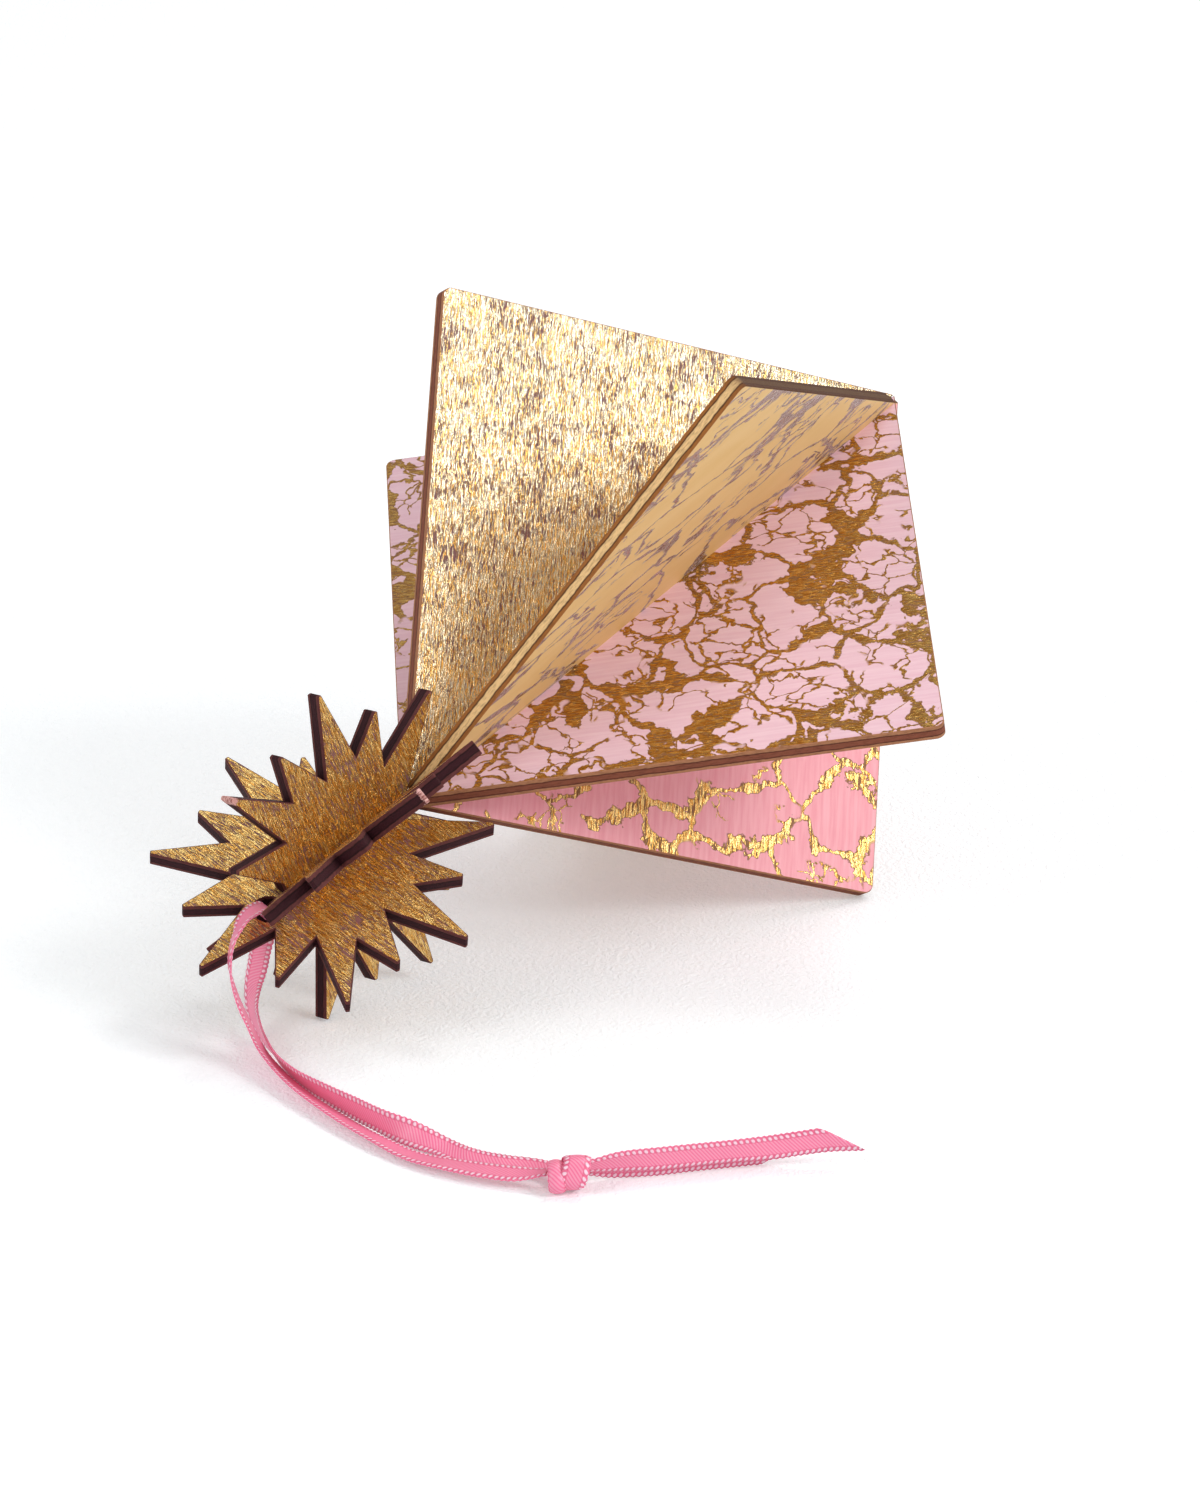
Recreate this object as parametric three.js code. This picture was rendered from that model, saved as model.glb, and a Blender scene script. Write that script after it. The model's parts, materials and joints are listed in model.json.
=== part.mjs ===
// A hanging ornament of slotted plywood, lying on a table as it comes to rest.
// Three square plates cross on one shared diagonal, and three star plates cross on the same axis
// beyond the squares' tip. Each set of three is held by laps that slide together along the axis.
// A satin ribbon runs through a hole in the outermost star plate and is knotted to hang it by.
// Millimetres, +Z up, with the table at z = 0 and +X from the star towards the squares' far corner.

import * as THREE from 'three';

// Plywood and fits
const PLY = 2;
const FIT_GAP = 0.3;

// Square plates: a square stands on one corner, and its diagonal is the axis
const SQUARE_SIDE = 65;
const SQUARE_CORNER_RADIUS = 1.2;
const SQUARE_TURN = 65; // degrees either side of the first square to the other two

// Star plates: heights run along the axis from the plate's centre, reaches run out from the axis
const STAR_TURN = 41; // degrees from the first square to the innermost star plate
const STAR_STAGGER = 2.25; // each star plate stands this much further out than the one before
const STAR_SEAT_GAP = 1; // from the squares' tip to the innermost plate's notch
const STAR_NOTCH_HEIGHT = -10.3; // the square notch that straddles the squares' tip
const STAR_FOOT_REACH = 10.3; // the two spikes beside that notch
const STAR_TIP_FLAT = 0.5; // every spike ends in a small flat
const STAR_TIPS = [
  [12.9, -12.3],
  [19.4, -5.9],
  [16.1, 2.3],
  [15.9, 10.7],
  [7.6, 13.8],
];
const STAR_VALLEYS = [
  [6.3, -10.4],
  [9.7, -7.3],
  [9.7, -2.2],
  [10.3, 3.2],
  [6.7, 6.3],
];
const STAR_TOP_VALLEY_HEIGHT = 8.8;
const STAR_LIP = 0.4; // between the top valley and the slot beside it
const STAR_LAP_HEIGHTS = [-4, 2.4]; // where one star plate's solid stretch hands over to the next
const SPIKE_HEIGHT = 18.7; // the outermost plate's spike on the axis
const HOLE_DIAMETER = 3.8;
const HOLE_HEIGHT = 7.2;

// Ribbon
const RIBBON_WIDTH = 3;
const RIBBON_THICKNESS = 0.3;
const RIBBON_STEPS = 1; // rings from one route point to the next
const TAIL_SLANT = 4.8; // the tails are snipped aslant, so one edge stops short of the other
const KNOT_CENTRE = [-54.0, -54.4, 2.1];
const KNOT_SIZE = [4.2, 3.6, 3.9];
const KNOT_TURN = -45; // degrees from X to the way that the ribbon runs through the knot

// Ribbon routes: a point on the ribbon's middle, then the direction across its width
const FRONT_STRAND = [
  [-48.4, 0.4, 13.8, 0.1, -0.9, -0.3],
  [-48.7, 0.0, 14.8, 0.1, -0.9, -0.3],
  [-49.2, -0.5, 15.9, 0.1, -0.9, -0.3],
  [-51.0, -0.8, 16.6, 0.2, -0.9, 0.0],
  [-53.4, -1.5, 16.5, 0.2, -0.9, 0.3],
  [-55.5, -2.4, 15.9, -0.1, -0.8, 0.6],
  [-56.9, -2.8, 14.8, -0.5, -0.8, 0.4],
  [-57.6, -2.9, 12.0, -0.6, -0.8, 0.1],
  [-57.3, -3.6, 8.3, -0.7, -0.7, 0.1],
  [-56.5, -5.1, 4.4, -0.8, -0.5, 0.4],
  [-56.8, -7.1, 2.6, -0.8, -0.2, 0.6],
  [-57.5, -9.8, 1.8, -0.8, 0.0, 0.6],
  [-58.7, -14.5, 1.2, -0.8, 0.2, 0.5],
  [-60.2, -22.3, 0.9, -0.9, 0.2, 0.4],
  [-61.2, -30.7, 0.8, -1.0, 0.1, 0.3],
  [-61.2, -37.6, 0.7, -1.0, -0.1, 0.1],
  [-60.4, -41.5, 1.0, -1.0, -0.3, 0.0],
  [-59.1, -45.5, 1.2, -0.9, -0.4, -0.1],
  [-56.6, -50.4, 1.5, -0.8, -0.5, -0.1],
  [-55.4, -52.4, 2.0, -0.8, -0.6, 0.0],
];
const BACK_STRAND = [
  [-48.2, 0.7, 13.2, 0.1, -0.9, -0.3],
  [-48.8, 0.7, 12.1, 0.1, -0.9, -0.3],
  [-49.0, 1.2, 10.1, 0.1, -0.9, -0.3],
  [-49.0, 1.7, 8.2, 0.1, -1.0, -0.1],
  [-49.5, 2.1, 5.3, 0.0, -1.0, 0.2],
  [-51.0, 0.6, 3.2, 0.1, -0.5, 0.9],
  [-53.2, -3.3, 1.9, -0.2, 0.0, 1.0],
  [-54.6, -6.3, 1.7, -0.4, 0.1, 0.9],
  [-55.8, -9.7, 1.6, -0.4, 0.2, 0.9],
  [-57.2, -14.3, 1.6, -0.4, 0.1, 0.9],
  [-58.1, -20.4, 1.7, -0.2, 0.0, 1.0],
  [-58.5, -25.0, 1.7, 0.0, 0.0, 1.0],
  [-58.9, -30.8, 1.7, 0.2, 0.0, 1.0],
  [-58.3, -34.1, 1.3, 0.7, 0.1, 0.7],
  [-57.6, -37.3, 0.8, 0.9, 0.2, 0.3],
  [-57.2, -41.5, 0.7, 0.9, 0.3, 0.3],
  [-55.8, -45.4, 0.7, 0.8, 0.5, 0.3],
  [-54.0, -48.4, 0.8, 0.8, 0.6, 0.2],
  [-53.4, -52.0, 1.4, 0.8, 0.6, 0.1],
];
const UPPER_TAIL = [
  [-51.8, -55.3, 2.5, -0.2, -0.2, 1.0],
  [-48.9, -57.0, 2.6, -0.2, -0.2, 1.0],
  [-45.4, -59.6, 2.6, -0.1, -0.1, 1.0],
  [-41.7, -62.0, 2.6, -0.1, -0.1, 1.0],
  [-38.0, -64.4, 2.6, -0.1, -0.1, 1.0],
  [-34.4, -66.8, 2.6, 0.0, 0.0, 1.0],
  [-31.8, -68.8, 2.9, 0.0, 0.0, 1.0],
  [-29.9, -70.5, 3.2, -0.1, 0.1, 1.0],
  [-27.3, -74.3, 3.8, -0.1, 0.1, 1.0],
];
const LOWER_TAIL = [
  [-51.7, -54.2, 1.8, 0.0, 0.0, -1.0],
  [-48.2, -56.3, 1.6, 0.0, 0.0, -1.0],
  [-44.9, -58.9, 1.6, 0.0, 0.0, -1.0],
  [-41.1, -61.2, 1.6, 0.0, 0.0, -1.0],
  [-37.4, -63.6, 1.6, 0.0, 0.0, -1.0],
  [-34.4, -65.6, 1.6, 0.0, 0.0, -1.0],
  [-31.6, -68.0, 1.6, 0.0, 0.0, -1.0],
];

// Worked out from the sizes above
const DIAGONAL = SQUARE_SIDE * Math.SQRT2;
const SQUARE_CROSSING = Math.min(SQUARE_TURN, 180 - 2 * SQUARE_TURN);
const STAR_CROSSING = 60; // three plates share a half turn evenly
const STAR_HEIGHT = DIAGONAL + STAR_SEAT_GAP - STAR_NOTCH_HEIGHT;
const AXIS = new THREE.Vector3(0, 0, 1);

const radians = THREE.MathUtils.degToRad;

// Half the width of a slot that two plates need to cross at this angle with the gap all round.
function slotHalfWidth(crossing) {
  const angle = radians(crossing);
  return ((PLY / 2) * (1 + Math.cos(angle)) + FIT_GAP) / Math.sin(angle);
}

// A closed outline from its right half, listed upwards as [x, y, corner radius].
function mirroredShape(half) {
  const left = half
    .filter(([x]) => x > 0)
    .map(([x, y, radius]) => [-x, y, radius])
    .reverse();
  const corners = [...half, ...left];
  const shape = new THREE.Shape();
  corners.forEach(([x, y, radius], i) => {
    const corner = new THREE.Vector2(x, y);
    if (radius) {
      roundCorner(shape, corners.at(i - 1), corner, corners[(i + 1) % corners.length], radius);
    } else if (i === 0) {
      shape.moveTo(x, y);
    } else {
      shape.lineTo(x, y);
    }
  });
  shape.closePath();
  return shape;
}

// Adds an outer corner to a shape as an arc that meets both of its sides.
function roundCorner(shape, before, corner, after, radius) {
  const back = new THREE.Vector2(before[0], before[1]).sub(corner).normalize();
  const on = new THREE.Vector2(after[0], after[1]).sub(corner).normalize();
  const halfAngle = Math.acos(back.dot(on)) / 2;
  const centre = back
    .clone()
    .add(on)
    .setLength(radius / Math.sin(halfAngle))
    .add(corner);
  const setback = radius / Math.tan(halfAngle);
  const start = back.multiplyScalar(setback).add(corner).sub(centre);
  const end = on.multiplyScalar(setback).add(corner).sub(centre);
  if (shape.curves.length === 0) {
    shape.moveTo(centre.x + start.x, centre.y + start.y);
  }
  shape.absarc(centre.x, centre.y, radius, start.angle(), end.angle(), false);
}

// A plate of this outline that stands on the axis, its right half turned to this many degrees.
function plate(name, shape, turn, material) {
  const geometry = new THREE.ExtrudeGeometry(shape, {
    depth: PLY,
    bevelEnabled: false,
    curveSegments: 6,
  });
  geometry.translate(0, 0, -PLY / 2);
  geometry.rotateX(Math.PI / 2);
  const mesh = new THREE.Mesh(geometry, material);
  mesh.name = name;
  mesh.rotation.z = radians(turn);
  return mesh;
}

// A square plate, slotted from its base corner or from its tip, or from both, up to these heights.
function squareShape({ slotFromBase, slotFromTip }) {
  const slot = slotHalfWidth(SQUARE_CROSSING);
  const base = slotFromBase
    ? [[slot, slotFromBase], [slot, slot]]
    : [[0, 0, SQUARE_CORNER_RADIUS]];
  const tip = slotFromTip
    ? [[slot, DIAGONAL - slot], [slot, slotFromTip]]
    : [[0, DIAGONAL, SQUARE_CORNER_RADIUS]];
  const shoulder = [DIAGONAL / 2, DIAGONAL / 2, SQUARE_CORNER_RADIUS];
  return mirroredShape([...base, shoulder, ...tip]);
}

// The two ends of the small flat at a spike's tip, between the valleys before and after it.
function bluntTip(before, tip, after) {
  const root = new THREE.Vector2(before[0] + after[0], before[1] + after[1]).divideScalar(2);
  const along = new THREE.Vector2(tip[0], tip[1]).sub(root).setLength(STAR_TIP_FLAT / 2);
  return [
    [tip[0] + along.y, tip[1] - along.x],
    [tip[0] - along.y, tip[1] + along.x],
  ];
}

// A star plate, slotted up from its notch, down from its top, or both, to these heights.
function starShape({ slotFromNotch, slotFromTop }) {
  const slot = slotHalfWidth(STAR_CROSSING);
  const notch = slotFromNotch === undefined
    ? [[0, STAR_NOTCH_HEIGHT]]
    : [[slot, slotFromNotch], [slot, STAR_NOTCH_HEIGHT - slot]];
  const foot = [STAR_FOOT_REACH, STAR_NOTCH_HEIGHT - STAR_FOOT_REACH];
  const topValley = [slot + STAR_LIP, STAR_TOP_VALLEY_HEIGHT];
  const tips = [foot, ...STAR_TIPS];
  const valleys = [notch.at(-1), ...STAR_VALLEYS, topValley];
  const spikes = tips.flatMap((tip, i) => [
    ...bluntTip(valleys[i], tip, valleys[i + 1]),
    valleys[i + 1],
  ]);
  const top = slotFromTop === undefined
    ? [[STAR_TIP_FLAT / 2, SPIKE_HEIGHT]]
    : [[slot, STAR_TOP_VALLEY_HEIGHT], [slot, slotFromTop]];
  return mirroredShape([...notch, ...spikes, ...top]);
}

// The three squares. Along the axis the ochre plate is whole in the first third, the gold plate
// in the middle third and the pink plate in the last, and each is slotted where another is whole.
function squares() {
  const lapLow = DIAGONAL / 3;
  const lapHigh = lapLow * 2;
  const ochre = squareShape({ slotFromTip: lapLow - FIT_GAP / 2 });
  const gold = squareShape({
    slotFromBase: lapLow + FIT_GAP / 2,
    slotFromTip: lapHigh - FIT_GAP / 2,
  });
  const pink = squareShape({ slotFromBase: lapHigh + FIT_GAP / 2 });
  return [
    plate('square_plate_ochre', ochre, 0, finish(0xdcb681, 0.55, 0)),
    plate('square_plate_gold', gold, SQUARE_TURN, finish(0xc9a24a, 0.35, 0.8)),
    plate('square_plate_pink', pink, -SQUARE_TURN, finish(0xe6b8c6, 0.55, 0)),
  ];
}

// The three star plates, whole in turn along the axis as the squares are, and each a step
// further out. The outermost has no slot at its top, so its spike carries the ribbon's hole.
function stars() {
  const [lapLow, lapHigh] = STAR_LAP_HEIGHTS;
  const inner = starShape({ slotFromTop: lapLow - FIT_GAP / 2 });
  const middle = starShape({
    slotFromNotch: lapLow - STAR_STAGGER + FIT_GAP / 2,
    slotFromTop: lapHigh - STAR_STAGGER - FIT_GAP / 2,
  });
  const outer = starShape({ slotFromNotch: lapHigh - 2 * STAR_STAGGER + FIT_GAP / 2 });
  const hole = new THREE.Path();
  hole.absarc(0, HOLE_HEIGHT, HOLE_DIAMETER / 2, 0, 2 * Math.PI, true);
  outer.holes.push(hole);
  const foil = finish(0xa8842f, 0.4, 0.8);
  const plates = [
    plate('star_plate_inner', inner, STAR_TURN, foil),
    plate('star_plate_middle', middle, STAR_TURN - STAR_CROSSING, foil),
    plate('star_plate_outer', outer, STAR_TURN + STAR_CROSSING, foil),
  ];
  plates.forEach((mesh, i) => {
    mesh.position.z = STAR_HEIGHT + i * STAR_STAGGER;
  });
  return plates;
}

function finish(color, roughness, metalness) {
  return new THREE.MeshStandardMaterial({ color, roughness, metalness });
}

// A mesh's lowest corner along a direction, in its parent's frame.
function furthest(mesh, direction) {
  mesh.updateMatrix();
  const corners = mesh.geometry.getAttribute('position');
  const corner = new THREE.Vector3();
  const best = new THREE.Vector3();
  let reach = -Infinity;
  for (let i = 0; i < corners.count; i += 1) {
    corner.fromBufferAttribute(corners, i).applyMatrix4(mesh.matrix);
    if (corner.dot(direction) > reach) {
      reach = corner.dot(direction);
      best.copy(corner);
    }
  }
  return best;
}

// The direction that points down when an upright assembly has tipped over onto three feet.
function restingDown(feet, firstGuess) {
  const down = firstGuess.clone();
  for (let settle = 0; settle < 8; settle += 1) {
    const [first, second, third] = feet.map((foot) => furthest(foot, down));
    const normal = second.sub(first).cross(third.sub(first)).normalize();
    down.copy(normal.dot(down) > 0 ? normal : normal.negate());
  }
  return down;
}

// Lays the upright plates on the table, centred over the origin, with their axis along X.
function layDown(plates) {
  const lying = new THREE.Group();
  lying.add(...plates);
  const between = radians(SQUARE_TURN / 2);
  const firstGuess = new THREE.Vector3(-Math.cos(between), -Math.sin(between), 0);
  const up = restingDown([plates[0], plates[1], plates[3]], firstGuess).negate();
  const alongTable = up.clone().multiplyScalar(AXIS.dot(up)).sub(AXIS).normalize();
  const acrossTable = up.clone().cross(alongTable);
  const turned = new THREE.Matrix4().makeBasis(alongTable, acrossTable, up).transpose();
  lying.quaternion.setFromRotationMatrix(turned);
  const box = new THREE.Box3().setFromObject(lying, true);
  const centre = box.getCenter(new THREE.Vector3());
  lying.position.set(-centre.x, -centre.y, -box.min.z);
  return lying;
}

// A flat ribbon: a long box bent along its route, with its width turned as the route says. A
// slant is how far the edge on the width's side stops short of the other at the ribbon's end.
function ribbon(name, route, material, slant = 0) {
  const middle = new THREE.CatmullRomCurve3(route.map(([x, y, z]) => new THREE.Vector3(x, y, z)));
  const width = new THREE.CatmullRomCurve3(route.map(([, , , x, y, z]) => new THREE.Vector3(x, y, z)));
  const shortening = slant / middle.getLength();
  const steps = (route.length - 1) * RIBBON_STEPS;
  const geometry = new THREE.BoxGeometry(RIBBON_THICKNESS, RIBBON_WIDTH, 1, 1, 1, steps);
  const corners = geometry.getAttribute('position');
  for (let i = 0; i < corners.count; i += 1) {
    const shareAcross = corners.getY(i) / RIBBON_WIDTH + 0.5;
    const along = (corners.getZ(i) + 0.5) * (1 - shortening * shareAcross);
    const tangent = middle.getTangent(along);
    const across = width.getPoint(along);
    across.addScaledVector(tangent, -across.dot(tangent)).normalize();
    const face = across.clone().cross(tangent);
    const corner = middle.getPoint(along);
    corner.addScaledVector(face, corners.getX(i)).addScaledVector(across, corners.getY(i));
    corners.setXYZ(i, corner.x, corner.y, corner.z);
  }
  geometry.computeVertexNormals();
  const mesh = new THREE.Mesh(geometry, material);
  mesh.name = name;
  return mesh;
}

function knot(material) {
  const geometry = new THREE.SphereGeometry(0.5, 16, 10);
  const mesh = new THREE.Mesh(geometry, material);
  mesh.name = 'ribbon_knot';
  mesh.position.set(...KNOT_CENTRE);
  mesh.scale.set(...KNOT_SIZE);
  mesh.rotation.z = radians(KNOT_TURN);
  return mesh;
}

const satin = finish(0xee739f, 0.45, 0);
const ornament = new THREE.Group();
ornament.add(layDown([...squares(), ...stars()]));
ornament.add(ribbon('ribbon_strand_front', FRONT_STRAND, satin));
ornament.add(ribbon('ribbon_strand_back', BACK_STRAND, satin));
ornament.add(knot(satin));
ornament.add(ribbon('ribbon_tail_upper', UPPER_TAIL, satin, TAIL_SLANT));
ornament.add(ribbon('ribbon_tail_lower', LOWER_TAIL, satin, TAIL_SLANT));

export default ornament;
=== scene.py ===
"""A slotted plywood ornament with foil veins and a satin hanging ribbon, lying on a white table."""

import json
import math

import bmesh
import bpy
import numpy as np
from mathutils import Matrix, Vector

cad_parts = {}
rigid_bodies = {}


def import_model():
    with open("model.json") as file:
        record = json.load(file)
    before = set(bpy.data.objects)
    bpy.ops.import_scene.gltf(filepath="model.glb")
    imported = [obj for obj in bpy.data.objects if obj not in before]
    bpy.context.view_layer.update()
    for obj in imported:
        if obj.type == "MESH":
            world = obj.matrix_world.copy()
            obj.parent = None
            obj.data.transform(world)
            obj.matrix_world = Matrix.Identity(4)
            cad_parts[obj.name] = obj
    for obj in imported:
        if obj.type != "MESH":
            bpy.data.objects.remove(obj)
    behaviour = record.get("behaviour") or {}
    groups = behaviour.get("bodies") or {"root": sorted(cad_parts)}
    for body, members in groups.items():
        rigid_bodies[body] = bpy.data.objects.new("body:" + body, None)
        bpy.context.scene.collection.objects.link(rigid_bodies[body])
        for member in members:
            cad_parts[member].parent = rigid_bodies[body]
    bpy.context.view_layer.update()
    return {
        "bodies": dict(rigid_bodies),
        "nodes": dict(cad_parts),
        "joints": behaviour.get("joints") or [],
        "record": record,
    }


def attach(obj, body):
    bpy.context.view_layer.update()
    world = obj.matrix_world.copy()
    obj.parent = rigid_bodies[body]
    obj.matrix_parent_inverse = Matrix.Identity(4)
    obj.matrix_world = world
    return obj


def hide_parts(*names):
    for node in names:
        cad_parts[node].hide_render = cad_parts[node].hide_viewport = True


MM = 0.001
DIAGONAL = 0.7071  # sine and cosine of 45 degrees

# Camera, in the part's frame
CAMERA_PLACE = (-0.470601, -0.464180, 0.295058)
CAMERA_RIGHT = (0.697469, -0.716614, 0.001097)
CAMERA_UP = (0.273612, 0.267716, 0.923832)
CAMERA_LOOK = (0.662324, 0.644044, -0.382798)
CAMERA_LENS = 140.94
CAMERA_NEAR = 0.01

# Ribbon, in millimetres
RIBBON_WIDTH = 3.0
RIBBON_THICKNESS = 0.26
RIBBON_RING = 0.17  # from one ring of a ribbon's mesh to the next
RIBBON_COLUMNS = 9
RIBBON_AHEAD = 0.05  # how far ahead the route's direction is taken
EDGE_LOSS = 0.6  # share of its thickness that a ribbon loses at its edges
EDGE_POWER = 8  # how close to the edges that loss and the scallops keep
TAIL_SLANT = 4.8
STITCH_PITCH = 0.68
STITCH_REACH = 1.14  # from the ribbon's middle to each row of stitches
STITCH_COLUMN = 0.75  # the mesh's columns that stitches raise, as a share of half the width
STITCH_RISE = 0.07  # how far a stitch stands proud
STITCH_LEAN = 0.4
STITCH_OVAL = (11.0, 15.0)  # across and along the ribbon
STITCH_EDGE = (0.55, 1.0)
ROW_EDGE = (0.26, 0.38)  # from a row's middle, where its dark ground ends
SCALLOP = 0.07  # how far a stitch pushes the ribbon's edge out
PINCH = 0.4  # share of its width that a ribbon loses where the knot grips it
PINCH_REACH = 2.4
TWILL_ALONG = 15.0  # radians of twill to a millimetre
TWILL_ACROSS = 12.0

# Knot: each turn's centre, its reach towards the camera and upwards, and its lean along the ribbon
FOLD_TURN = ((-53.7, -54.7, 2.15), 1.7, 1.65, 0.5)
FOLD_BULGE = 0.2
LOBE_TURN = ((-55.0, -53.4, 1.65), 1.9, 1.35, -0.1)
LOBE_BULGE = 0.35
LOBE_WIDTH = 1.9
TURN_STATIONS = 17
ALONG_KNOT = np.array([DIAGONAL, -DIAGONAL, 0.0])
TOWARDS_CAMERA = np.array([-DIAGONAL, -DIAGONAL, 0.0])

# Ribbon routes in millimetres: a point on the ribbon's middle, then the direction across it
FRONT_STRAND = [
    (-48.4, 0.4, 13.8, 0.1, -0.9, -0.3),
    (-48.7, 0.0, 14.8, 0.1, -0.9, -0.3),
    (-49.2, -0.5, 15.9, 0.1, -0.9, -0.3),
    (-51.0, -0.8, 16.6, 0.2, -0.9, 0.0),
    (-53.4, -1.5, 16.5, 0.2, -0.9, 0.3),
    (-55.5, -2.4, 15.9, -0.1, -0.8, 0.6),
    (-56.9, -2.8, 14.8, -0.5, -0.8, 0.4),
    (-57.6, -2.9, 12.0, -0.6, -0.8, 0.1),
    (-57.3, -3.6, 8.3, -0.7, -0.7, 0.1),
    (-56.5, -5.1, 4.4, -0.8, -0.5, 0.4),
    (-56.8, -7.1, 2.6, -0.8, -0.2, 0.6),
    (-57.5, -9.8, 1.8, -0.8, 0.0, 0.6),
    (-58.7, -14.5, 1.2, -0.8, 0.2, 0.5),
    (-60.2, -22.3, 0.9, -0.9, 0.2, 0.4),
    (-61.2, -30.7, 0.8, -1.0, 0.1, 0.3),
    (-61.2, -37.6, 0.7, -1.0, -0.1, 0.1),
    (-60.4, -41.5, 1.0, -1.0, -0.3, 0.0),
    (-59.1, -45.5, 1.2, -0.9, -0.4, -0.1),
    (-56.6, -50.4, 1.5, -0.8, -0.5, -0.1),
    (-55.4, -52.4, 2.0, -0.8, -0.6, 0.0),
]
BACK_STRAND = [
    (-48.2, 0.7, 13.2, 0.1, -0.9, -0.3),
    (-48.8, 0.7, 12.1, 0.1, -0.9, -0.3),
    (-49.0, 1.2, 10.1, 0.1, -0.9, -0.3),
    (-49.0, 1.7, 8.2, 0.1, -1.0, -0.1),
    (-49.5, 2.1, 5.3, 0.0, -1.0, 0.2),
    (-51.0, 0.6, 3.2, 0.1, -0.5, 0.9),
    (-53.1, -3.3, 1.9, -0.2, 0.0, 1.0),
    (-54.5, -6.2, 1.7, -0.4, 0.1, 0.9),
    (-56.2, -9.6, 1.6, -0.4, 0.2, 0.9),
    (-57.6, -14.2, 1.6, -0.4, 0.1, 0.9),
    (-58.4, -20.3, 1.6, -0.2, 0.0, 1.0),
    (-58.7, -24.9, 1.6, 0.0, 0.0, 1.0),
    (-58.9, -30.7, 1.6, 0.2, 0.0, 1.0),
    (-58.3, -34.1, 1.3, 0.7, 0.1, 0.7),
    (-57.5, -37.3, 0.8, 0.9, 0.2, 0.3),
    (-57.2, -41.5, 0.7, 0.9, 0.3, 0.3),
    (-55.8, -45.4, 0.7, 0.8, 0.5, 0.3),
    (-54.0, -48.4, 0.8, 0.8, 0.6, 0.2),
    (-53.4, -52.0, 1.4, 0.8, 0.6, 0.1),
]
UPPER_TAIL = [
    (-51.8, -55.3, 2.5, -0.2, -0.2, 1.0),
    (-48.9, -57.0, 2.6, -0.2, -0.2, 1.0),
    (-45.4, -59.6, 2.6, -0.1, -0.1, 1.0),
    (-41.7, -62.0, 2.6, -0.1, -0.1, 1.0),
    (-38.0, -64.4, 2.6, -0.1, -0.1, 1.0),
    (-34.4, -66.8, 2.6, 0.0, 0.0, 1.0),
    (-31.8, -68.8, 2.9, 0.0, 0.0, 1.0),
    (-29.9, -70.5, 3.2, -0.1, 0.1, 1.0),
    (-27.3, -74.3, 3.8, -0.1, 0.1, 1.0),
]
LOWER_TAIL = [
    (-51.7, -54.2, 1.8, 0.0, 0.0, -1.0),
    (-48.2, -56.3, 1.6, 0.0, 0.0, -1.0),
    (-44.9, -58.9, 1.6, 0.0, 0.0, -1.0),
    (-41.1, -61.2, 1.6, 0.0, 0.0, -1.0),
    (-37.4, -63.6, 1.6, 0.0, 0.0, -1.0),
    (-34.4, -65.6, 1.6, 0.0, 0.0, -1.0),
    (-30.9, -68.6, 1.6, 0.0, 0.0, -1.0),
]

# Stage, in metres
FLOOR_REACH = 1.5
FLOOR_COLOUR = (0.9, 0.93, 0.95, 1.0)
FLOOR_LIFT = 0.2  # light of its own where it is seen
SKY_LEVEL = 0.45  # straight up
HORIZON_LEVEL = 0.9
SKY_RISE = (0.1, 0.8)  # where the horizon's level ends and the sky's begins, on a unit sphere
WHITE = (1.0, 1.0, 1.0, 1.0)
LAMP_AIM = (0.0, 0.0, 0.03)
LAMPS = {  # direction, distance, size and power
    "key": ((0.25, -0.78, 0.58), 1.4, 0.58, 8.5),
    "fill": ((-0.8, 0.2, 0.6), 0.8, 0.3, 1.2),
    "top": ((0.5, 0.06, 0.86), 0.8, 0.3, 1.5),
}

# Plates, in millimetres
EDGE_EASE = 0.12  # how far a plate's edges are rounded
SEAM = 0.5  # half the width that the slots are drawn in to
SQUARE_SLOT = 2.536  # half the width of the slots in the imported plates
STAR_SLOT = 2.0785
CLOSE = 0.01  # near enough to be the same place
WELD = 0.001  # corners that are closer are one
FLAT_ANGLE = 0.01  # faces that meet at less are one face
SHARP_ANGLE = 0.5  # edges that turn by more are eased
FACE_TILT = 0.95  # how squarely a front or a back looks out of its plate
EDGE_INDEX = 2  # of a plate's materials, after its front's and its back's

# Veins: the size of the cells between them, the thinnest half width, how far they swell to
# patches, and the share of the finer ones that shows
GOLD_VEINS = (11.0, 0.35, 1.6, 0.42)
PINK_VEINS = (9.0, 0.34, 3.4, 0.55)
OCHRE_VEINS = (6.5, 0.2, 1.0, 0.5)
VEIN_RIM = 0.07  # how far the vein's darker ground shows round its foil
VEIN_EDGE = 0.04  # half the width of a vein's soft edge
FINE_CELLS = 2.6  # cells between the finer veins to the width of a main one

# Foil: how far it is crinkled and how much of it is worn away
GOLD_FOIL = (0.12, 0.415)
BACK_FOIL = (0.12, 0.37)
STAR_FOIL = (0.25, 0.42)
LINE_WEAR = 0.35  # how much of it the lines along the brushing wear away
# Painted highlight: over these spans of its relief the foil's colour turns from its valley tone to
# a paler crest tone
CREST_HIGHLIGHT = (0.4, 0.66)  # relief from a valley to a crest
STAR_CREST_HIGHLIGHT = (0.5, 0.8)
FOIL_DEPTH = 0.22  # of its relief
STAR_DEPTH = 0.3
FOIL_ROUGH = 0.19
WOOD_ROUGH = 0.55
WOOD_RELIEF = 0.1  # share of the foil's relief that bare wood has

# Chips that bare the wood, in a plate's frame: across, along and radius
STAR_CHIPS = {
    "inner": [(15.9, 113.4, 1.0)],
    "middle": [(-19.4, 99.1, 0.4), (16.1, 107.3, 0.4)],
    "outer": [],
}
CHIP_RAGGED = 1.4  # how far a chip's outline wanders
CHIP_EDGE = 0.1  # half the width of its soft edge


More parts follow.
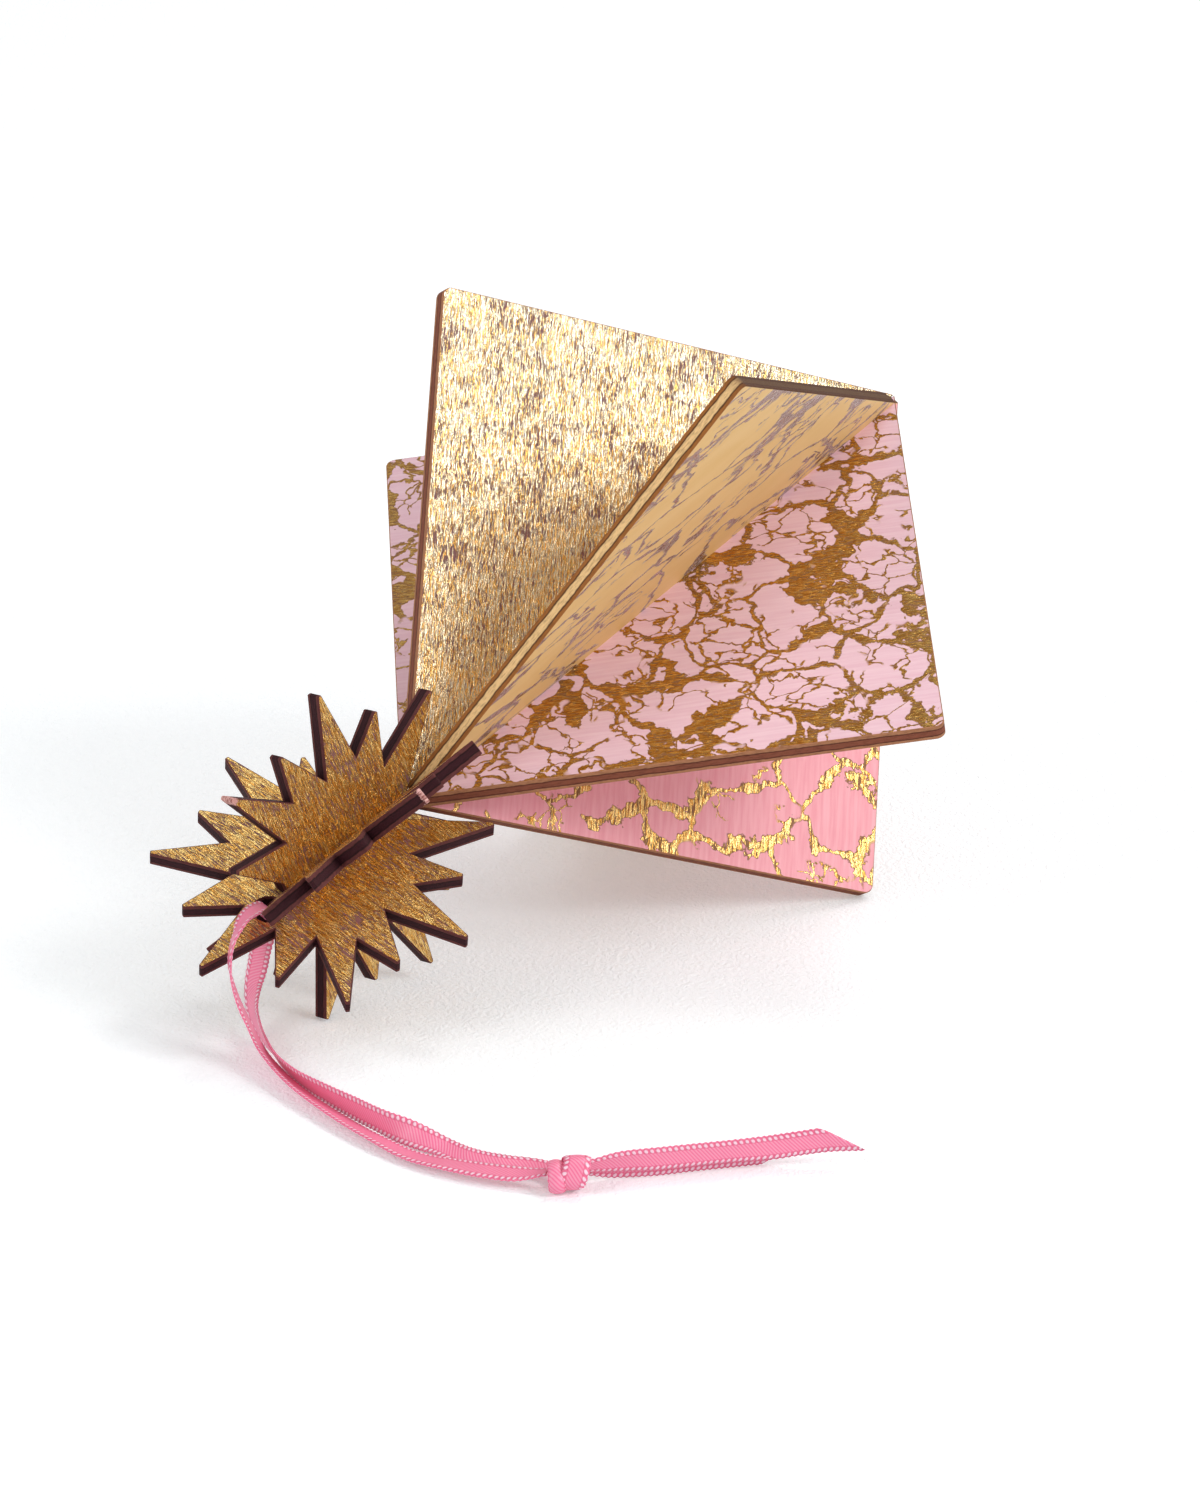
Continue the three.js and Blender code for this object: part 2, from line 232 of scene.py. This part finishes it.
class Shade:
    """A shader socket whose arithmetic adds nodes to its material."""

    def __init__(self, tree, socket):
        self.tree = tree
        self.socket = socket

    def use(self, kind, inputs, output=0, **settings):
        """One output of a new node of any kind, with these inputs and settings."""
        node = self.tree.nodes.new(kind)
        for name, value in settings.items():
            setattr(node, name, value)
        for key, value in inputs.items():
            if isinstance(value, Shade):
                self.tree.links.new(value.socket, node.inputs[key])
            else:
                node.inputs[key].default_value = value
        return Shade(self.tree, node.outputs[output])

    def maths(self, operation, *others):
        inputs = dict(enumerate((self, *others)))
        return self.use("ShaderNodeMath", inputs, operation=operation)

    def __add__(self, other):
        return self.maths("ADD", other)

    def __sub__(self, other):
        return self.maths("SUBTRACT", other)

    def __mul__(self, other):
        return self.maths("MULTIPLY", other)

    def __rsub__(self, other):
        return self * -1 + other

    __radd__ = __add__
    __rmul__ = __mul__

    def step(self, low, high):
        """0 below low and 1 above high, with a smooth rise between."""
        inputs = {"Value": self, "From Min": low, "From Max": high}
        return self.use("ShaderNodeMapRange", inputs, interpolation_type="SMOOTHSTEP")

    def blend(self, first, second):
        """The first colour where this is 0 and the second where it is 1."""
        inputs = {0: self, 6: first, 7: second}
        return self.use("ShaderNodeMix", inputs, output=2, data_type="RGBA")

    def split(self):
        """The three parts of a vector."""
        return [self.use("ShaderNodeSeparateXYZ", {0: self}, output=i) for i in range(3)]

    def join(self, y, z=0.0):
        """The vector whose first part is this."""
        return self.use("ShaderNodeCombineXYZ", {0: self, 1: y, 2: z})

    def noise(self, scale, detail=4.0, roughness=0.55, output=0):
        """A cloudy pattern over this vector, about 0.5."""
        inputs = {"Vector": self, "Scale": scale, "Detail": detail, "Roughness": roughness}
        return self.use("ShaderNodeTexNoise", inputs, output=output)

    def warp(self, scale, amount, detail=3.0):
        """This vector pushed about by a cloudy pattern."""
        push = self.noise(scale, detail, output=1)
        average = (0.5, 0.5, 0.5)
        level = self.use("ShaderNodeVectorMath", {0: push, 1: average}, operation="SUBTRACT")
        scaled = self.use("ShaderNodeVectorMath", {0: level, "Scale": amount}, operation="SCALE")
        return self.use("ShaderNodeVectorMath", {0: self, 1: scaled}, operation="ADD")

    def cracks(self, scale):
        """How far this vector is from the nearest border between cells."""
        inputs = {"Vector": self, "Scale": scale}
        return self.use("ShaderNodeTexVoronoi", inputs, feature="DISTANCE_TO_EDGE")


def rgb(red, green, blue):
    """A colour as it looks on screen, from 0 to 255, as linear light."""

    def linear(share):
        return share / 12.92 if share <= 0.04045 else ((share + 0.055) / 1.055) ** 2.4

    return (linear(red / 255), linear(green / 255), linear(blue / 255), 1.0)


# Colours
SATIN = rgb(242, 86, 136)
LIGHT_SATIN = rgb(255, 196, 218)
DEEP_SATIN = rgb(230, 72, 120)
STITCH_PINK = rgb(255, 212, 228)
PINK = rgb(234, 152, 162)
LIGHT_PINK = rgb(243, 174, 182)
PALE_PINK = rgb(228, 184, 198)
PALEST_PINK = rgb(237, 201, 211)
OCHRE = rgb(214, 174, 108)
LIGHT_OCHRE = rgb(226, 192, 134)
# Foil tones. The pale gold, the bright gold and the light amber are painted highlights on the
# crests of the foil's relief; the deep gold is the gold half's own foil and a painted highlight on
# the ochre back's crests.
PALE_GOLD_HIGHLIGHT = rgb(255, 244, 216)
DEEP_GOLD = rgb(242, 194, 108)
GOLD = rgb(212, 154, 72)
GOLD_HIGHLIGHT = rgb(255, 220, 144)
AMBER = rgb(190, 132, 54)
AMBER_HIGHLIGHT = rgb(240, 194, 110)
SILVER = rgb(192, 178, 172)
WORN_PURPLE = rgb(132, 84, 84)
WORN_BROWN = rgb(138, 90, 50)
BARE_PINK = rgb(198, 142, 134)
WORN_GREY = rgb(150, 124, 118)
CHIP_LIGHT = rgb(226, 176, 168)
CHIP_DARK = rgb(146, 88, 82)

# Cut edges of plywood: tones of the skins, the core and the glue, half the core's thickness, and
# how far the edges furthest from the star are scorched
TAN_PLY = (rgb(174, 120, 86), rgb(134, 76, 56), rgb(78, 38, 28), 0.44, 0.2)
OCHRE_PLY = (rgb(160, 100, 50), rgb(238, 196, 138), rgb(78, 48, 30), 0.5, 0.95)
STAR_PLY = (rgb(98, 52, 50), rgb(56, 22, 28), rgb(34, 10, 14), 0.44, 0.0)
SCORCH_END = (44.0, 47.0)  # along the axis
LAYER_EDGE = 0.04  # half the width of the change from the core to a skin
GLUE_EDGE = (0.04, 0.14)  # from a glue line's middle, where it fades


def start_material(name, place="Object", frame=Matrix()):
    """A new material and the place it is shaded at, in millimetres, in this frame."""
    material = bpy.data.materials.new(name)
    material.use_nodes = True
    tree = material.node_tree
    source = Shade(tree, tree.nodes.new("ShaderNodeTexCoord").outputs[place])
    inverse = frame.inverted()
    mapping = {
        "Vector": source,
        "Location": inverse.translation / MM,
        "Rotation": inverse.to_euler(),
        "Scale": (1 / MM, 1 / MM, 1 / MM),
    }
    return material, source.use("ShaderNodeMapping", mapping)


def surface(material, height=None, depth=0.05, **inputs):
    """Gives a material its surface: these inputs, and relief this many millimetres deep."""
    shader = material.node_tree.nodes["Principled BSDF"]
    if height is not None:
        bump = {"Height": height, "Distance": depth * MM, "Strength": 1.0}
        inputs["Normal"] = height.use("ShaderNodeBump", bump)
    for name, value in inputs.items():
        key = name.replace("_", " ")
        if isinstance(value, Shade):
            material.node_tree.links.new(value.socket, shader.inputs[key])
        else:
            shader.inputs[key].default_value = value
    return material


def add_object(name, mesh):
    made = bpy.data.objects.new(name, mesh)
    bpy.context.scene.collection.objects.link(made)
    return made


# Ribbon


def smooth(rows, knots, places):
    """Rows at these places on a smooth curve through the given rows at their knots."""
    slopes = np.gradient(rows, knots, axis=0)
    before = np.clip(np.searchsorted(knots, places) - 1, 0, len(knots) - 2)
    span = (knots[before + 1] - knots[before])[:, None]
    t = (places - knots[before])[:, None] / span
    ends = rows[before] * (1 + 2 * t) * (1 - t) ** 2 + rows[before + 1] * t**2 * (3 - 2 * t)
    bends = slopes[before] * t * (1 - t) ** 2 - slopes[before + 1] * t**2 * (1 - t)
    return ends + span * bends


def unit(vectors):
    return vectors / np.linalg.norm(vectors, axis=-1, keepdims=True)


def ribbon(name, route, material, slant=0.0, width=RIBBON_WIDTH, bulge=0.0, pinched=(False, False)):
    """A flat ribbon along a route and its middle line. One edge stops short by the slant, the
    middle may bulge to one side, and either end may be pinched where it enters the knot."""
    rows = np.array(route)
    chords = np.linalg.norm(np.diff(rows[:, :3], axis=0), axis=1)
    knots = np.concatenate([[0], np.cumsum(chords)])
    length = knots[-1]
    rings = round(length / RIBBON_RING) + 1
    share = np.linspace(0, 1, RIBBON_COLUMNS)
    along = (np.linspace(0, length, rings)[:, None] * (1 - slant / length * share)).ravel()
    side = np.tile(2 * share - 1, rings)[:, None]
    here = smooth(rows, knots, along)
    ahead = smooth(rows, knots, along + RIBBON_AHEAD)
    tangent = unit(ahead[:, :3] - here[:, :3])
    across = here[:, 3:]
    across = unit(across - tangent * np.sum(across * tangent, axis=1, keepdims=True))
    face = np.cross(across, tangent)
    taper = np.ones_like(along)
    for pinch, distance in zip(pinched, (along, length - along)):
        taper -= pinch * PINCH * np.exp(-((distance / PINCH_REACH) ** 2))
    stitch = -np.cos(2 * np.pi * along / STITCH_PITCH)[:, None]
    near_edge = side**EDGE_POWER
    offset = side * (width / 2 * taper[:, None] + SCALLOP * stitch * near_edge)
    half = RIBBON_THICKNESS / 2 * (1 - EDGE_LOSS * near_edge)
    stitched = np.isclose(np.abs(side), STITCH_COLUMN)
    half = half + STITCH_RISE * (1 + stitch) / 2 * stitched
    middle = here[:, :3] + across * offset + face * bulge * (1 - side**2)
    corners = np.concatenate([middle + face * half, middle - face * half]) * MM
    places = np.stack([np.tile(side[:, 0] * width / 2, 2), np.tile(along, 2)], axis=1) * MM
    mesh = bpy.data.meshes.new(name)
    mesh.from_pydata(corners.tolist(), [], ribbon_faces(rings))
    layer = mesh.uv_layers.new(name="weave")
    for loop in mesh.loops:
        layer.data[loop.index].uv = places[loop.vertex_index]
    mesh.shade_smooth()
    mesh.materials.append(material)
    made = add_object(name, mesh)
    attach(made, "root")
    return made, (middle.reshape(rings, RIBBON_COLUMNS, 3)[:, RIBBON_COLUMNS // 2] * MM).tolist()


def ribbon_faces(rings):
    """The faces of a ribbon's mesh: two sides, two edges and two ends."""

    def corner(side, ring, column):
        return (side * rings + ring) * RIBBON_COLUMNS + column

    def band(first, second):
        return [[*a, *reversed(b)] for a, b in zip(zip(first, first[1:]), zip(second, second[1:]))]

    columns = range(RIBBON_COLUMNS)
    sides = [[[corner(s, r, c) for c in columns] for r in range(rings)] for s in (0, 1)]
    faces = []
    for ring in range(rings - 1):
        faces += band(sides[0][ring], sides[0][ring + 1])
        faces += band(sides[1][ring + 1], sides[1][ring])
    for column, (low, high) in ((0, (0, 1)), (-1, (1, 0))):
        edges = [[row[column] for row in side] for side in sides]
        faces += band(edges[low], edges[high])
    faces += band(sides[1][0], sides[0][0])
    faces += band(sides[0][-1], sides[1][-1])
    return faces


def wrap_route(centre, depth_radius, height_radius, lean):
    """A route once round the ribbons at the knot, leaning along them by this much at the top."""
    route = []
    for turn in np.linspace(0, 2 * np.pi, TURN_STATIONS):
        out = np.array([0.0, 0.0, -1.0]) * height_radius * np.cos(turn)
        out = out + TOWARDS_CAMERA * depth_radius * np.sin(turn)
        shift = ALONG_KNOT * lean * -np.cos(turn)
        route.append((*(np.array(centre) + out + shift), *ALONG_KNOT))
    return route


def satin_material():
    """Pink satin with a row of light stitches inside each edge and a fine twill between."""
    material, place = start_material("satin", "UV")
    across, along, _ = place.split()
    inward = across.maths("ABSOLUTE") - STITCH_REACH
    past_stitch = ((along * (1 / STITCH_PITCH)).maths("FRACT") - 0.5) * STITCH_PITCH
    beat = past_stitch + inward * STITCH_LEAN
    oval = (inward * inward * STITCH_OVAL[0] + beat * beat * STITCH_OVAL[1]).maths("SQRT")
    stitch = 1 - oval.step(*STITCH_EDGE)
    row = 1 - inward.maths("ABSOLUTE").step(*ROW_EDGE)
    twill = ((along * TWILL_ALONG + across * TWILL_ACROSS).maths("SINE") + 1) * 0.5
    body = (twill * 0.4 + 0.1).blend(SATIN, LIGHT_SATIN)
    tone = stitch.blend((row * 0.7).blend(body, DEEP_SATIN), STITCH_PINK)
    height = stitch * 0.9 + twill * (1 - row) * 0.2
    return surface(material, height, depth=0.09, Base_Color=tone, Roughness=0.38, IOR=1.7)


# Plates


def plate_frame(points, axis, base):
    """A flat plate's frame: across it, along the axis from the base, and out towards the camera."""
    middle = points.mean(axis=0)
    out = Vector(np.linalg.svd(points - middle)[2][2])
    if out.dot(Vector(CAMERA_PLACE) - Vector(middle)) < 0:
        out.negate()
    out = (out - axis * out.dot(axis)).normalized()
    across = axis.cross(out)
    frame = Matrix((across, axis, out)).transposed().to_4x4()
    frame.translation = axis * base
    for direction in (across, out):
        reach = points @ np.array(direction)
        frame.translation += direction * ((reach.min() + reach.max()) / 2)
    return frame


def close_slot(form, slot):
    """Draws a plate's slots in until their walls hide inside the plates that cross there."""
    draw_in = (slot - SEAM) * MM
    mouths = [v.co.y for v in form.verts]
    for vert in form.verts:
        if abs(abs(vert.co.x) - slot * MM) > CLOSE * MM:
            continue
        for mouth, way in ((min(mouths), -1), (max(mouths), 1)):
            if abs(vert.co.y - mouth) < CLOSE * MM:
                vert.co.y += way * draw_in
        vert.co.x -= math.copysign(draw_in, vert.co.x)


def plate(node, frame, slot, materials):
    """A CAD plate's shape with eased edges and with front, back and edge materials."""
    form = bmesh.new()
    form.from_mesh(node.data)
    bmesh.ops.remove_doubles(form, verts=form.verts, dist=WELD * MM)
    bmesh.ops.transform(form, matrix=frame.inverted(), verts=form.verts)
    close_slot(form, slot)
    bmesh.ops.dissolve_limit(form, angle_limit=FLAT_ANGLE, verts=form.verts, edges=form.edges)
    sharp = [e for e in form.edges if e.calc_face_angle(0) > SHARP_ANGLE]
    bmesh.ops.bevel(
        form, geom=sharp, offset=EDGE_EASE * MM, segments=2, affect="EDGES", profile=0.5
    )
    bmesh.ops.triangulate(form, faces=[f for f in form.faces if len(f.verts) > 4])
    form.normal_update()
    for face in form.faces:
        tilt = face.normal.z
        front_or_back = int(tilt < 0)
        face.material_index = EDGE_INDEX if abs(tilt) < FACE_TILT else front_or_back
    bmesh.ops.transform(form, matrix=frame, verts=form.verts)
    mesh = bpy.data.meshes.new(node.name + "_look")
    form.to_mesh(mesh)
    form.free()
    for material in materials:
        mesh.materials.append(material)
    made = add_object(node.name + "_look", mesh)
    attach(made, "root")
    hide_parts(node.name)
    return made


def foiled(material, wood, foil, cover, grain, depth=FOIL_DEPTH):
    """Dyed wood that carries metal foil where the cover is 1, with ridges along its grain."""
    tone = cover.blend(wood, foil)
    rough = cover * (FOIL_ROUGH - WOOD_ROUGH) + WOOD_ROUGH
    height = grain * (cover * (1 - WOOD_RELIEF) + WOOD_RELIEF)
    return surface(material, height, depth, Base_Color=tone, Metallic=cover, Roughness=rough)


def grained(place, turn, stretch):
    """A place drawn out along the grain, which runs along one edge of a square plate. The turn,
    1 or -1, says which edge."""
    across, along, depth = place.split()
    with_grain = (across * turn - along) * (DIAGONAL / stretch)
    over_grain = (across * turn + along) * DIAGONAL
    return with_grain.join(over_grain, depth)


def veins(place, cell, thin, swell, share):
    """Where ragged veins run between irregular cells, and where the foil in them lies, which
    leaves a dark rim. They thin out or break in places and swell to patches in others."""
    jagged = place.warp(0.14, 6.0, detail=2.0).warp(0.7, 1.5, detail=2.0)
    ragged = (place.noise(2.4, detail=3.0) - 0.5) * 0.5
    lumps = place.warp(0.3, 3.0).noise(0.1, detail=3.0).step(0.5, 0.72)
    wide = thin + lumps * swell + ragged
    past_vein = jagged.cracks(1 / cell) * cell - wide
    main = 1 - past_vein.step(-VEIN_EDGE, VEIN_EDGE)
    inner = 1 - (past_vein + VEIN_RIM).step(-VEIN_EDGE, VEIN_EDGE)
    kept = place.noise(0.17, detail=2.0).step(0.36, 0.4)
    fine_cell = cell / FINE_CELLS
    fine_border = jagged.warp(0.4, 2.0, detail=2.0).cracks(1 / fine_cell) * fine_cell
    fine_wide = thin * 0.3
    fine = 1 - (fine_border - ragged * 0.5).step(fine_wide, fine_wide + 2 * VEIN_EDGE)
    shown = place.noise(0.13, detail=2.0).step(1 - share, 1.03 - share)
    fine = fine * shown
    return (main * kept).maths("MAXIMUM", fine), (inner * kept).maths("MAXIMUM", fine)


def chipped(place, chips):
    """Where small chips bare the wood. Each is given as across, along and its radius."""
    across, along, _ = place.split()
    ragged = (place.noise(2.2) - 0.5) * CHIP_RAGGED
    bare = across * 0
    for x, y, radius in chips:
        off_x = across - x
        off_y = along - y
        distance = (off_x * off_x + off_y * off_y).maths("SQRT") + ragged
        bare = bare.maths("MAXIMUM", 1 - (distance - radius).step(-CHIP_EDGE, CHIP_EDGE))
    return bare


def worn_foil(place, brushed, crinkle, wear):
    """Cover and relief of foil brushed one way, crinkled a little, and worn in flecks and lines."""
    strokes = brushed.noise(5.4, detail=2.0, roughness=0.6)
    relief = strokes + place.noise(6.5, detail=2.0, roughness=0.6) * crinkle
    patches = (place.noise(0.28) - 0.5) * 0.4
    speckle = brushed.noise(6.4, detail=3.0, roughness=0.65)
    flecks = (speckle + patches - (1 - wear)).step(-0.03, 0.03)
    lines = 1 - (brushed.noise(3.0, detail=1.0) - 0.5).maths("ABSOLUTE").step(0.01, 0.035)
    return (1 - flecks) * (1 - lines * LINE_WEAR), relief


def foiled_half(place):
    """1 on the half of a plate that carries foil all over, and 0 on its other half."""
    across = place.split()[0]
    return across.step(-CLOSE, CLOSE)


def streaked(place, turn, first, second):
    """Stained wood with fine streaks of two tones along its grain."""
    streak = grained(place, turn, stretch=14.0).noise(2.2).step(0.25, 0.75)
    return streak.blend(first, second)


def gold_plate_material(frame):
    """Worn gold foil on one half, and foil veins on pink on the other. The foil's colour is paler
    on its crests than in its valleys: painted highlight and shade.
    """
    material, place = start_material("gold_face", frame=frame)
    brushed = grained(place, 1.0, stretch=7.0)
    worn, relief = worn_foil(place, brushed, *GOLD_FOIL)
    pink = streaked(place, 1.0, PINK, LIGHT_PINK)
    vein, foil = veins(place, *GOLD_VEINS)
    gold_half = foiled_half(place)
    wood = gold_half.blend(vein.blend(pink, WORN_BROWN), WORN_PURPLE)
    rubbed = 1 - brushed.noise(3.6, detail=3.0).step(0.56, 0.6)
    cover = worn * gold_half + foil * rubbed * (1 - gold_half)
    # Painted highlight and shade: the foil's colour turns paler on the crests of its relief and
    # deeper in its valleys
    crest = relief.step(*CREST_HIGHLIGHT)
    gold = gold_half.blend(crest.blend(GOLD, GOLD_HIGHLIGHT), crest.blend(DEEP_GOLD, PALE_GOLD_HIGHLIGHT))
    return foiled(material, wood, gold, cover, relief)


def pink_plate_material(frame):
    """Gold foil veins on pale pink, the foil coloured lighter on its crests as a painted highlight.
    """
    material, place = start_material("pink_face", frame=frame)
    brushed = grained(place, -1.0, stretch=5.0)
    grain = brushed.noise(4.8, detail=2.0, roughness=0.6)
    pink = streaked(place, -1.0, PALE_PINK, PALEST_PINK)
    vein, foil = veins(place, *PINK_VEINS)
    rubbed = 1 - brushed.noise(4.6, detail=3.0).step(0.54, 0.6)
    # Painted highlight: the amber foil is coloured lighter on the crests of its grain
    amber = grain.step(*CREST_HIGHLIGHT).blend(AMBER, AMBER_HIGHLIGHT)
    return foiled(material, vein.blend(pink, WORN_BROWN), amber, foil * rubbed, grain)


def ochre_pattern(place):
    """Tone, foil cover and relief of ochre wood with silvery veins drawn out along the axis."""
    across, along, depth = place.split()
    drawn_out = (along * 0.2).join(across, depth)
    wood = drawn_out.noise(0.4, detail=3.0).blend(OCHRE, LIGHT_OCHRE)
    vein, foil = veins((along * 0.42).join(across, depth), *OCHRE_VEINS)
    rubbed = 1 - drawn_out.noise(4.0, detail=3.0).step(0.5, 0.58)
    relief = drawn_out.noise(2.2, detail=3.0, roughness=0.6)
    return vein.blend(wood, WORN_GREY), foil * rubbed, relief


def ochre_plate_material(frame):
    material, place = start_material("ochre_face", frame=frame)
    wood, cover, relief = ochre_pattern(place)
    return foiled(material, wood, SILVER, cover, relief)


def ochre_back_material(frame):
    """Worn gold foil on the half next to the gold plate's, and the veined ochre on the other. The
    gold foil is coloured lighter on its crests, a painted highlight.
    """
    material, place = start_material("ochre_back", frame=frame)
    wood, cover, relief = ochre_pattern(place)
    worn, foil_relief = worn_foil(place, grained(place, -1.0, stretch=7.0), *BACK_FOIL)
    # Painted highlight: the foil's colour is paler on the crests of its relief
    gold = foil_relief.step(*CREST_HIGHLIGHT).blend(GOLD, DEEP_GOLD)
    gold_half = foiled_half(place)
    veined_half = 1 - gold_half
    return foiled(
        material,
        gold_half.blend(wood, WORN_PURPLE),
        gold_half.blend(SILVER, gold),
        worn * gold_half + cover * veined_half,
        foil_relief * gold_half + relief * veined_half,
    )


def star_material(name, frame, chips):
    """Gold foil on a purple ground, brushed across the star and chipped at a tip or two, its crests
    coloured brighter as a painted highlight.
    """
    material, place = start_material(name, frame=frame)
    across, along, depth = place.split()
    worn, relief = worn_foil(place, (across * 0.13).join(along, depth), *STAR_FOIL)
    bare = chipped(place, chips)
    wood = bare.blend(WORN_PURPLE, BARE_PINK)
    # Painted highlight: the foil's colour is brighter on the crests of its relief
    gold = relief.step(*STAR_CREST_HIGHLIGHT).blend(GOLD, GOLD_HIGHLIGHT)
    return foiled(material, wood, gold, worn * (1 - bare), relief, STAR_DEPTH)


def edge_material(name, frame, skin, core, glue, half_core, scorch, chips=()):
    """The charred cut edge of three-layer plywood, scorched darker on the far edges."""
    material, place = start_material(name, frame=frame)
    across, along, depth = place.split()
    uneven = (place.noise(0.8, detail=3.0) - 0.5) * 0.3
    past_core = depth.maths("ABSOLUTE") + uneven - half_core
    layer = past_core.step(-LAYER_EDGE, LAYER_EDGE).blend(core, skin)
    line = 1 - past_core.maths("ABSOLUTE").step(*GLUE_EDGE)
    flecks = (across * 0.6).join(along * 0.6, depth * 3.0).noise(2.0)
    tone = (flecks.step(0.4, 0.75) * 0.45).blend((line * 0.9).blend(layer, glue), glue)
    far = (1 - along.step(*SCORCH_END)) * scorch
    bare = flecks.step(0.4, 0.65).blend(CHIP_LIGHT, CHIP_DARK)
    return surface(
        material,
        flecks,
        depth=0.12,
        Base_Color=chipped(place, chips).blend(far.blend(tone, glue), bare),
        Roughness=0.7,
        Specular_IOR_Level=0.15,
    )


# Stage


def floor_material():
    """White with a faint grain, lifted to the white of the backdrop where it is seen directly."""
    material, place = start_material("floor")
    tree = material.node_tree
    height = place.warp(0.5, 1.2).noise(1.8, detail=2.0)
    surface(material, height, depth=0.24, Base_Color=FLOOR_COLOUR, Roughness=0.7)
    rays = tree.nodes.new("ShaderNodeLightPath")
    seen = Shade(tree, rays.outputs["Is Camera Ray"])
    for kind in ("Is Glossy Ray", "Is Transmission Ray"):
        seen = seen.maths("MAXIMUM", Shade(tree, rays.outputs[kind]))
    lift = seen.use("ShaderNodeEmission", {"Color": WHITE, "Strength": seen * FLOOR_LIFT})
    lit = Shade(tree, tree.nodes["Principled BSDF"].outputs[0])
    both = lit.use("ShaderNodeAddShader", {0: lit, 1: lift})
    tree.links.new(both.socket, tree.nodes["Material Output"].inputs["Surface"])
    return material


def add_floor():
    mesh = bpy.data.meshes.new("floor")
    signs = ((-1, -1), (1, -1), (1, 1), (-1, 1))
    corners = [(x * FLOOR_REACH, y * FLOOR_REACH, 0) for x, y in signs]
    mesh.from_pydata(corners, [], [(0, 1, 2, 3)])
    mesh.materials.append(floor_material())
    add_object("floor", mesh)


def add_lamp(name, direction, distance, size, power):
    """A square soft light that faces the ornament from this direction."""
    lamp = bpy.data.lights.new(name, "AREA")
    lamp.size = size
    lamp.energy = power
    made = add_object(name, lamp)
    away = Vector(direction).normalized()
    made.location = away * distance + Vector(LAMP_AIM)
    made.rotation_mode = "QUATERNION"
    made.rotation_quaternion = away.to_track_quat("Z", "Y")


def add_world():
    """A pale room that is dimmer overhead."""
    world = bpy.data.worlds.new("studio")
    bpy.context.scene.world = world
    world.use_nodes = True
    tree = world.node_tree
    direction = Shade(tree, tree.nodes.new("ShaderNodeTexCoord").outputs["Generated"])
    height = direction.split()[2]
    level = HORIZON_LEVEL + height.step(*SKY_RISE) * (SKY_LEVEL - HORIZON_LEVEL)
    tree.links.new(level.socket, tree.nodes["Background"].inputs["Strength"])
    tree.nodes["Background"].inputs["Color"].default_value = WHITE


def add_camera():
    data = bpy.data.cameras.new("camera")
    data.lens = CAMERA_LENS
    data.clip_start = CAMERA_NEAR
    camera = add_object("camera", data)
    turn = Matrix((CAMERA_RIGHT, CAMERA_UP, Vector(CAMERA_LOOK) * -1)).transposed()
    camera.matrix_world = turn.to_4x4()
    camera.location = CAMERA_PLACE
    bpy.context.scene.camera = camera


def add_ribbons():
    """The ribbon's four free stretches and its knot, which is two turns round them."""
    satin = satin_material()
    front, front_line = ribbon("strand_front", FRONT_STRAND, satin, pinched=(False, True))
    back, back_line = ribbon("strand_back", BACK_STRAND, satin, pinched=(False, True))
    upper, upper_line = ribbon("tail_upper", UPPER_TAIL, satin, TAIL_SLANT, pinched=(True, False))
    lower, _ = ribbon("tail_lower", LOWER_TAIL, satin, TAIL_SLANT, pinched=(True, False))
    fold, _ = ribbon("knot_fold", wrap_route(*FOLD_TURN), satin, bulge=FOLD_BULGE)
    lobe_route = wrap_route(*LOBE_TURN)
    lobe, _ = ribbon("knot_lobe", lobe_route, satin, width=LOBE_WIDTH, bulge=LOBE_BULGE)
    for piece, node in (
        (front, "ribbon_strand_front"),
        (back, "ribbon_strand_back"),
        (upper, "ribbon_tail_upper"),
        (lower, "ribbon_tail_lower"),
        (fold, "ribbon_knot"),
    ):
        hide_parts(node)


def plate_frames(nodes):
    """Each plate's frame, by its node's name. All share the axis that the squares cross on."""
    points = {
        name: np.array([v.co for v in node.data.vertices])
        for name, node in nodes.items()
        if "_plate_" in name
    }
    squares = [corners for name, corners in points.items() if name.startswith("square")]
    flats = [np.linalg.svd(corners - corners.mean(axis=0))[2][2] for corners in squares]
    axis = Vector(np.cross(flats[0], flats[1])).normalized()
    if axis.x > 0:
        axis.negate()
    base = min((corners @ np.array(axis)).min() for corners in squares)
    return {name: plate_frame(corners, axis, base) for name, corners in points.items()}


def add_plates(nodes):
    frames = plate_frames(nodes)
    ochre_frame = frames["square_plate_ochre"]
    gold_frame = frames["square_plate_gold"]
    pink_frame = frames["square_plate_pink"]
    gold_face = gold_plate_material(gold_frame)
    pink_face = pink_plate_material(pink_frame)
    square_finishes = {
        "ochre": [
            ochre_plate_material(ochre_frame),
            ochre_back_material(ochre_frame),
            edge_material("ochre_edge", ochre_frame, *OCHRE_PLY),
        ],
        "gold": [gold_face, gold_face, edge_material("gold_edge", gold_frame, *TAN_PLY)],
        "pink": [pink_face, pink_face, edge_material("pink_edge", pink_frame, *TAN_PLY)],
    }
    for tone, materials in square_finishes.items():
        name = "square_plate_" + tone
        made = plate(nodes[name], frames[name], SQUARE_SLOT, materials)
        tone + "_ply"
    for rank, chips in STAR_CHIPS.items():
        name = "star_plate_" + rank
        face = star_material("star_face_" + rank, frames[name], chips)
        edge = edge_material("star_edge_" + rank, frames[name], *STAR_PLY, chips)
        made = plate(nodes[name], frames[name], STAR_SLOT, [face, face, edge])


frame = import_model()
add_camera()
add_ribbons()
add_plates(frame["nodes"])
add_floor()
add_world()
for lamp_name, lamp_facts in LAMPS.items():
    add_lamp(lamp_name, *lamp_facts)

bpy.context.scene.view_settings.view_transform = "Standard"
